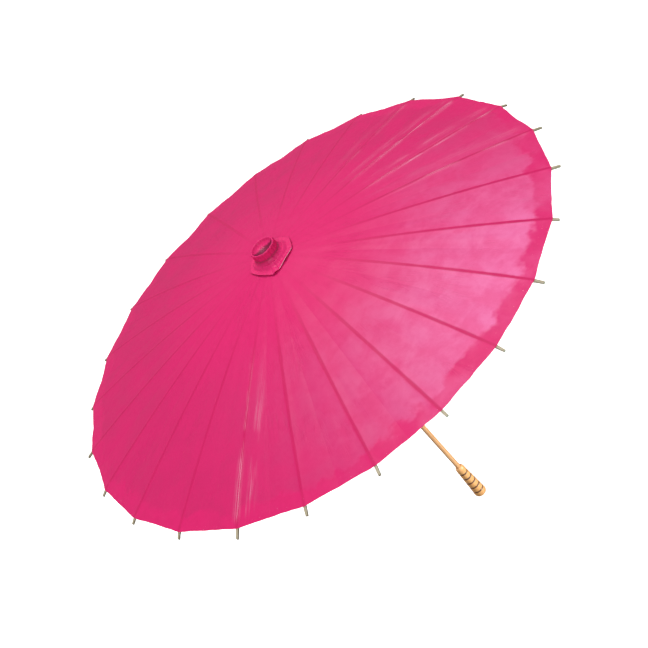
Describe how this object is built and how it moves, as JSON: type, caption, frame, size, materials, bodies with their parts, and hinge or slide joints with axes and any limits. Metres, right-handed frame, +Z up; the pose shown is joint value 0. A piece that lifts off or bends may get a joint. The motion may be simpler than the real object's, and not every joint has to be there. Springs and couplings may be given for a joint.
{
  "type": "oil paper parasol",
  "caption": "Open oil-paper parasol: slotted crown, bamboo ribs and stretchers, sliding runner, spring catch, wooden stick and turned handle, pink paper canopy with a tied paper crown cover.",
  "frame": {"origin": "centre of the flat at the handle's end, on the stick's axis, which is also the bottom centre of the open parasol's box", "axes": "+Z up the stick towards the crown; +X along rib_01, with rib_02 to rib_24 following anticlockwise every 15 degrees seen from above"},
  "size_m": [0.814, 0.814, 0.618],
  "materials": {
    "paper": "oiled paper, soft gloss",
    "cover_paper": "oiled paper, folded",
    "bamboo": "split bamboo, uncoated",
    "stretcher_bamboo": "split bamboo, uncoated",
    "stick_wood": "clear varnish",
    "handle_wood": "turned, clear varnish",
    "head_wood": "turned, uncoated",
    "steel": "drawn wire, slightly dull",
    "thread": "twisted cotton thread"
  },
  "bodies": {
    "root": {"stick": "stick_wood", "handle": "handle_wood", "crown": "head_wood", "crown_wire": "steel", "crown_peg": "bamboo", "catch_pin": "steel", "canopy": "paper", "crown_cover": "cover_paper", "cover_tie": "thread"},
    "rib_01": {"rib_01": "bamboo"},
    "stretcher_01": {"stretcher_01": "stretcher_bamboo"},
    "rib_02": {"rib_02": "bamboo"},
    "stretcher_02": {"stretcher_02": "stretcher_bamboo"},
    "rib_03": {"rib_03": "bamboo"},
    "stretcher_03": {"stretcher_03": "stretcher_bamboo"},
    "rib_04": {"rib_04": "bamboo"},
    "stretcher_04": {"stretcher_04": "stretcher_bamboo"},
    "rib_05": {"rib_05": "bamboo"},
    "stretcher_05": {"stretcher_05": "stretcher_bamboo"},
    "rib_06": {"rib_06": "bamboo"},
    "stretcher_06": {"stretcher_06": "stretcher_bamboo"},
    "rib_07": {"rib_07": "bamboo"},
    "stretcher_07": {"stretcher_07": "stretcher_bamboo"},
    "rib_08": {"rib_08": "bamboo"},
    "stretcher_08": {"stretcher_08": "stretcher_bamboo"},
    "rib_09": {"rib_09": "bamboo"},
    "stretcher_09": {"stretcher_09": "stretcher_bamboo"},
    "rib_10": {"rib_10": "bamboo"},
    "stretcher_10": {"stretcher_10": "stretcher_bamboo"},
    "rib_11": {"rib_11": "bamboo"},
    "stretcher_11": {"stretcher_11": "stretcher_bamboo"},
    "rib_12": {"rib_12": "bamboo"},
    "stretcher_12": {"stretcher_12": "stretcher_bamboo"},
    "rib_13": {"rib_13": "bamboo"},
    "stretcher_13": {"stretcher_13": "stretcher_bamboo"},
    "rib_14": {"rib_14": "bamboo"},
    "stretcher_14": {"stretcher_14": "stretcher_bamboo"},
    "rib_15": {"rib_15": "bamboo"},
    "stretcher_15": {"stretcher_15": "stretcher_bamboo"},
    "rib_16": {"rib_16": "bamboo"},
    "stretcher_16": {"stretcher_16": "stretcher_bamboo"},
    "rib_17": {"rib_17": "bamboo"},
    "stretcher_17": {"stretcher_17": "stretcher_bamboo"},
    "rib_18": {"rib_18": "bamboo"},
    "stretcher_18": {"stretcher_18": "stretcher_bamboo"},
    "rib_19": {"rib_19": "bamboo"},
    "stretcher_19": {"stretcher_19": "stretcher_bamboo"},
    "rib_20": {"rib_20": "bamboo"},
    "stretcher_20": {"stretcher_20": "stretcher_bamboo"},
    "rib_21": {"rib_21": "bamboo"},
    "stretcher_21": {"stretcher_21": "stretcher_bamboo"},
    "rib_22": {"rib_22": "bamboo"},
    "stretcher_22": {"stretcher_22": "stretcher_bamboo"},
    "rib_23": {"rib_23": "bamboo"},
    "stretcher_23": {"stretcher_23": "stretcher_bamboo"},
    "rib_24": {"rib_24": "bamboo"},
    "stretcher_24": {"stretcher_24": "stretcher_bamboo"},
    "runner": {"runner": "head_wood", "runner_wire": "steel"},
    "catch": {"spring_catch": "steel"}
  },
  "joints": [
    {"name": "canopy_fold", "type": "hinge", "parent": "root", "child": "rib_01", "pos_m": [0.012, 0, 0.596], "axis": [0, 1, 0], "range_deg": [0, 75], "deforming": ["canopy", "spring_catch"]},
    {"name": "stretcher_01_swing", "type": "hinge", "parent": "rib_01", "child": "stretcher_01", "pos_m": [0.17722, 0, 0.56483], "axis": [0, -1, 0], "range_deg": [0, 150]},
    {"name": "rib_02_fold", "type": "hinge", "parent": "root", "child": "rib_02", "pos_m": [0.01159, 0.00311, 0.596], "axis": [-0.2588, 0.9659, 0], "range_deg": [0, 75]},
    {"name": "stretcher_02_swing", "type": "hinge", "parent": "rib_02", "child": "stretcher_02", "pos_m": [0.17118, 0.04587, 0.56483], "axis": [0.2588, -0.9659, 0], "range_deg": [0, 150]},
    {"name": "rib_03_fold", "type": "hinge", "parent": "root", "child": "rib_03", "pos_m": [0.01039, 0.006, 0.596], "axis": [-0.5, 0.866, 0], "range_deg": [0, 75]},
    {"name": "stretcher_03_swing", "type": "hinge", "parent": "rib_03", "child": "stretcher_03", "pos_m": [0.15348, 0.08861, 0.56483], "axis": [0.5, -0.866, 0], "range_deg": [0, 150]},
    {"name": "rib_04_fold", "type": "hinge", "parent": "root", "child": "rib_04", "pos_m": [0.00848, 0.00848, 0.596], "axis": [-0.7071, 0.7071, 0], "range_deg": [0, 75]},
    {"name": "stretcher_04_swing", "type": "hinge", "parent": "rib_04", "child": "stretcher_04", "pos_m": [0.12532, 0.12532, 0.56483], "axis": [0.7071, -0.7071, 0], "range_deg": [0, 150]},
    {"name": "rib_05_fold", "type": "hinge", "parent": "root", "child": "rib_05", "pos_m": [0.006, 0.01039, 0.596], "axis": [-0.866, 0.5, 0], "range_deg": [0, 75]},
    {"name": "stretcher_05_swing", "type": "hinge", "parent": "rib_05", "child": "stretcher_05", "pos_m": [0.08861, 0.15348, 0.56483], "axis": [0.866, -0.5, 0], "range_deg": [0, 150]},
    {"name": "rib_06_fold", "type": "hinge", "parent": "root", "child": "rib_06", "pos_m": [0.00311, 0.01159, 0.596], "axis": [-0.9659, 0.2588, 0], "range_deg": [0, 75]},
    {"name": "stretcher_06_swing", "type": "hinge", "parent": "rib_06", "child": "stretcher_06", "pos_m": [0.04587, 0.17118, 0.56483], "axis": [0.9659, -0.2588, 0], "range_deg": [0, 150]},
    {"name": "rib_07_fold", "type": "hinge", "parent": "root", "child": "rib_07", "pos_m": [0, 0.012, 0.596], "axis": [-1, 0, 0], "range_deg": [0, 75]},
    {"name": "stretcher_07_swing", "type": "hinge", "parent": "rib_07", "child": "stretcher_07", "pos_m": [0, 0.17722, 0.56483], "axis": [1, 0, 0], "range_deg": [0, 150]},
    {"name": "rib_08_fold", "type": "hinge", "parent": "root", "child": "rib_08", "pos_m": [-0.00311, 0.01159, 0.596], "axis": [-0.9659, -0.2588, 0], "range_deg": [0, 75]},
    {"name": "stretcher_08_swing", "type": "hinge", "parent": "rib_08", "child": "stretcher_08", "pos_m": [-0.04587, 0.17118, 0.56483], "axis": [0.9659, 0.2588, 0], "range_deg": [0, 150]},
    {"name": "rib_09_fold", "type": "hinge", "parent": "root", "child": "rib_09", "pos_m": [-0.006, 0.01039, 0.596], "axis": [-0.866, -0.5, 0], "range_deg": [0, 75]},
    {"name": "stretcher_09_swing", "type": "hinge", "parent": "rib_09", "child": "stretcher_09", "pos_m": [-0.08861, 0.15348, 0.56483], "axis": [0.866, 0.5, 0], "range_deg": [0, 150]},
    {"name": "rib_10_fold", "type": "hinge", "parent": "root", "child": "rib_10", "pos_m": [-0.00848, 0.00848, 0.596], "axis": [-0.7071, -0.7071, 0], "range_deg": [0, 75]},
    {"name": "stretcher_10_swing", "type": "hinge", "parent": "rib_10", "child": "stretcher_10", "pos_m": [-0.12532, 0.12532, 0.56483], "axis": [0.7071, 0.7071, 0], "range_deg": [0, 150]},
    {"name": "rib_11_fold", "type": "hinge", "parent": "root", "child": "rib_11", "pos_m": [-0.01039, 0.006, 0.596], "axis": [-0.5, -0.866, 0], "range_deg": [0, 75]},
    {"name": "stretcher_11_swing", "type": "hinge", "parent": "rib_11", "child": "stretcher_11", "pos_m": [-0.15348, 0.08861, 0.56483], "axis": [0.5, 0.866, 0], "range_deg": [0, 150]},
    {"name": "rib_12_fold", "type": "hinge", "parent": "root", "child": "rib_12", "pos_m": [-0.01159, 0.00311, 0.596], "axis": [-0.2588, -0.9659, 0], "range_deg": [0, 75]},
    {"name": "stretcher_12_swing", "type": "hinge", "parent": "rib_12", "child": "stretcher_12", "pos_m": [-0.17118, 0.04587, 0.56483], "axis": [0.2588, 0.9659, 0], "range_deg": [0, 150]},
    {"name": "rib_13_fold", "type": "hinge", "parent": "root", "child": "rib_13", "pos_m": [-0.012, 0, 0.596], "axis": [0, -1, 0], "range_deg": [0, 75]},
    {"name": "stretcher_13_swing", "type": "hinge", "parent": "rib_13", "child": "stretcher_13", "pos_m": [-0.17722, 0, 0.56483], "axis": [0, 1, 0], "range_deg": [0, 150]},
    {"name": "rib_14_fold", "type": "hinge", "parent": "root", "child": "rib_14", "pos_m": [-0.01159, -0.00311, 0.596], "axis": [0.2588, -0.9659, 0], "range_deg": [0, 75]},
    {"name": "stretcher_14_swing", "type": "hinge", "parent": "rib_14", "child": "stretcher_14", "pos_m": [-0.17118, -0.04587, 0.56483], "axis": [-0.2588, 0.9659, 0], "range_deg": [0, 150]},
    {"name": "rib_15_fold", "type": "hinge", "parent": "root", "child": "rib_15", "pos_m": [-0.01039, -0.006, 0.596], "axis": [0.5, -0.866, 0], "range_deg": [0, 75]},
    {"name": "stretcher_15_swing", "type": "hinge", "parent": "rib_15", "child": "stretcher_15", "pos_m": [-0.15348, -0.08861, 0.56483], "axis": [-0.5, 0.866, 0], "range_deg": [0, 150]},
    {"name": "rib_16_fold", "type": "hinge", "parent": "root", "child": "rib_16", "pos_m": [-0.00848, -0.00848, 0.596], "axis": [0.7071, -0.7071, 0], "range_deg": [0, 75]},
    {"name": "stretcher_16_swing", "type": "hinge", "parent": "rib_16", "child": "stretcher_16", "pos_m": [-0.12532, -0.12532, 0.56483], "axis": [-0.7071, 0.7071, 0], "range_deg": [0, 150]},
    {"name": "rib_17_fold", "type": "hinge", "parent": "root", "child": "rib_17", "pos_m": [-0.006, -0.01039, 0.596], "axis": [0.866, -0.5, 0], "range_deg": [0, 75]},
    {"name": "stretcher_17_swing", "type": "hinge", "parent": "rib_17", "child": "stretcher_17", "pos_m": [-0.08861, -0.15348, 0.56483], "axis": [-0.866, 0.5, 0], "range_deg": [0, 150]},
    {"name": "rib_18_fold", "type": "hinge", "parent": "root", "child": "rib_18", "pos_m": [-0.00311, -0.01159, 0.596], "axis": [0.9659, -0.2588, 0], "range_deg": [0, 75]},
    {"name": "stretcher_18_swing", "type": "hinge", "parent": "rib_18", "child": "stretcher_18", "pos_m": [-0.04587, -0.17118, 0.56483], "axis": [-0.9659, 0.2588, 0], "range_deg": [0, 150]},
    {"name": "rib_19_fold", "type": "hinge", "parent": "root", "child": "rib_19", "pos_m": [0, -0.012, 0.596], "axis": [1, 0, 0], "range_deg": [0, 75]},
    {"name": "stretcher_19_swing", "type": "hinge", "parent": "rib_19", "child": "stretcher_19", "pos_m": [0, -0.17722, 0.56483], "axis": [-1, 0, 0], "range_deg": [0, 150]},
    {"name": "rib_20_fold", "type": "hinge", "parent": "root", "child": "rib_20", "pos_m": [0.00311, -0.01159, 0.596], "axis": [0.9659, 0.2588, 0], "range_deg": [0, 75]},
    {"name": "stretcher_20_swing", "type": "hinge", "parent": "rib_20", "child": "stretcher_20", "pos_m": [0.04587, -0.17118, 0.56483], "axis": [-0.9659, -0.2588, 0], "range_deg": [0, 150]},
    {"name": "rib_21_fold", "type": "hinge", "parent": "root", "child": "rib_21", "pos_m": [0.006, -0.01039, 0.596], "axis": [0.866, 0.5, 0], "range_deg": [0, 75]},
    {"name": "stretcher_21_swing", "type": "hinge", "parent": "rib_21", "child": "stretcher_21", "pos_m": [0.08861, -0.15348, 0.56483], "axis": [-0.866, -0.5, 0], "range_deg": [0, 150]},
    {"name": "rib_22_fold", "type": "hinge", "parent": "root", "child": "rib_22", "pos_m": [0.00848, -0.00848, 0.596], "axis": [0.7071, 0.7071, 0], "range_deg": [0, 75]},
    {"name": "stretcher_22_swing", "type": "hinge", "parent": "rib_22", "child": "stretcher_22", "pos_m": [0.12532, -0.12532, 0.56483], "axis": [-0.7071, -0.7071, 0], "range_deg": [0, 150]},
    {"name": "rib_23_fold", "type": "hinge", "parent": "root", "child": "rib_23", "pos_m": [0.01039, -0.006, 0.596], "axis": [0.5, 0.866, 0], "range_deg": [0, 75]},
    {"name": "stretcher_23_swing", "type": "hinge", "parent": "rib_23", "child": "stretcher_23", "pos_m": [0.15348, -0.08861, 0.56483], "axis": [-0.5, -0.866, 0], "range_deg": [0, 150]},
    {"name": "rib_24_fold", "type": "hinge", "parent": "root", "child": "rib_24", "pos_m": [0.01159, -0.00311, 0.596], "axis": [0.2588, 0.9659, 0], "range_deg": [0, 75]},
    {"name": "stretcher_24_swing", "type": "hinge", "parent": "rib_24", "child": "stretcher_24", "pos_m": [0.17118, -0.04587, 0.56483], "axis": [-0.2588, -0.9659, 0], "range_deg": [0, 150]},
    {"name": "runner_slide", "type": "hinge", "parent": "stretcher_01", "child": "runner", "pos_m": [0.012, 0, 0.53366], "axis": [0, 1, 0], "range_deg": [0, 75]},
    {"name": "catch_press", "type": "hinge", "parent": "root", "child": "catch", "pos_m": [0.002, 0, 0.46116], "axis": [0, -1, 0], "range_deg": [0, 6.5], "stiffness_Nm_per_rad": 0.3}
  ],
  "couplings": [
    {"joint": "stretcher_01_swing", "follows": "canopy_fold", "ratio": 2},
    {"joint": "rib_02_fold", "follows": "canopy_fold", "ratio": 1},
    {"joint": "stretcher_02_swing", "follows": "canopy_fold", "ratio": 2},
    {"joint": "rib_03_fold", "follows": "canopy_fold", "ratio": 1},
    {"joint": "stretcher_03_swing", "follows": "canopy_fold", "ratio": 2},
    {"joint": "rib_04_fold", "follows": "canopy_fold", "ratio": 1},
    {"joint": "stretcher_04_swing", "follows": "canopy_fold", "ratio": 2},
    {"joint": "rib_05_fold", "follows": "canopy_fold", "ratio": 1},
    {"joint": "stretcher_05_swing", "follows": "canopy_fold", "ratio": 2},
    {"joint": "rib_06_fold", "follows": "canopy_fold", "ratio": 1},
    {"joint": "stretcher_06_swing", "follows": "canopy_fold", "ratio": 2},
    {"joint": "rib_07_fold", "follows": "canopy_fold", "ratio": 1},
    {"joint": "stretcher_07_swing", "follows": "canopy_fold", "ratio": 2},
    {"joint": "rib_08_fold", "follows": "canopy_fold", "ratio": 1},
    {"joint": "stretcher_08_swing", "follows": "canopy_fold", "ratio": 2},
    {"joint": "rib_09_fold", "follows": "canopy_fold", "ratio": 1},
    {"joint": "stretcher_09_swing", "follows": "canopy_fold", "ratio": 2},
    {"joint": "rib_10_fold", "follows": "canopy_fold", "ratio": 1},
    {"joint": "stretcher_10_swing", "follows": "canopy_fold", "ratio": 2},
    {"joint": "rib_11_fold", "follows": "canopy_fold", "ratio": 1},
    {"joint": "stretcher_11_swing", "follows": "canopy_fold", "ratio": 2},
    {"joint": "rib_12_fold", "follows": "canopy_fold", "ratio": 1},
    {"joint": "stretcher_12_swing", "follows": "canopy_fold", "ratio": 2},
    {"joint": "rib_13_fold", "follows": "canopy_fold", "ratio": 1},
    {"joint": "stretcher_13_swing", "follows": "canopy_fold", "ratio": 2},
    {"joint": "rib_14_fold", "follows": "canopy_fold", "ratio": 1},
    {"joint": "stretcher_14_swing", "follows": "canopy_fold", "ratio": 2},
    {"joint": "rib_15_fold", "follows": "canopy_fold", "ratio": 1},
    {"joint": "stretcher_15_swing", "follows": "canopy_fold", "ratio": 2},
    {"joint": "rib_16_fold", "follows": "canopy_fold", "ratio": 1},
    {"joint": "stretcher_16_swing", "follows": "canopy_fold", "ratio": 2},
    {"joint": "rib_17_fold", "follows": "canopy_fold", "ratio": 1},
    {"joint": "stretcher_17_swing", "follows": "canopy_fold", "ratio": 2},
    {"joint": "rib_18_fold", "follows": "canopy_fold", "ratio": 1},
    {"joint": "stretcher_18_swing", "follows": "canopy_fold", "ratio": 2},
    {"joint": "rib_19_fold", "follows": "canopy_fold", "ratio": 1},
    {"joint": "stretcher_19_swing", "follows": "canopy_fold", "ratio": 2},
    {"joint": "rib_20_fold", "follows": "canopy_fold", "ratio": 1},
    {"joint": "stretcher_20_swing", "follows": "canopy_fold", "ratio": 2},
    {"joint": "rib_21_fold", "follows": "canopy_fold", "ratio": 1},
    {"joint": "stretcher_21_swing", "follows": "canopy_fold", "ratio": 2},
    {"joint": "rib_22_fold", "follows": "canopy_fold", "ratio": 1},
    {"joint": "stretcher_22_swing", "follows": "canopy_fold", "ratio": 2},
    {"joint": "rib_23_fold", "follows": "canopy_fold", "ratio": 1},
    {"joint": "stretcher_23_swing", "follows": "canopy_fold", "ratio": 2},
    {"joint": "rib_24_fold", "follows": "canopy_fold", "ratio": 1},
    {"joint": "stretcher_24_swing", "follows": "canopy_fold", "ratio": 2},
    {"joint": "runner_slide", "follows": "canopy_fold", "ratio": 1}
  ]
}
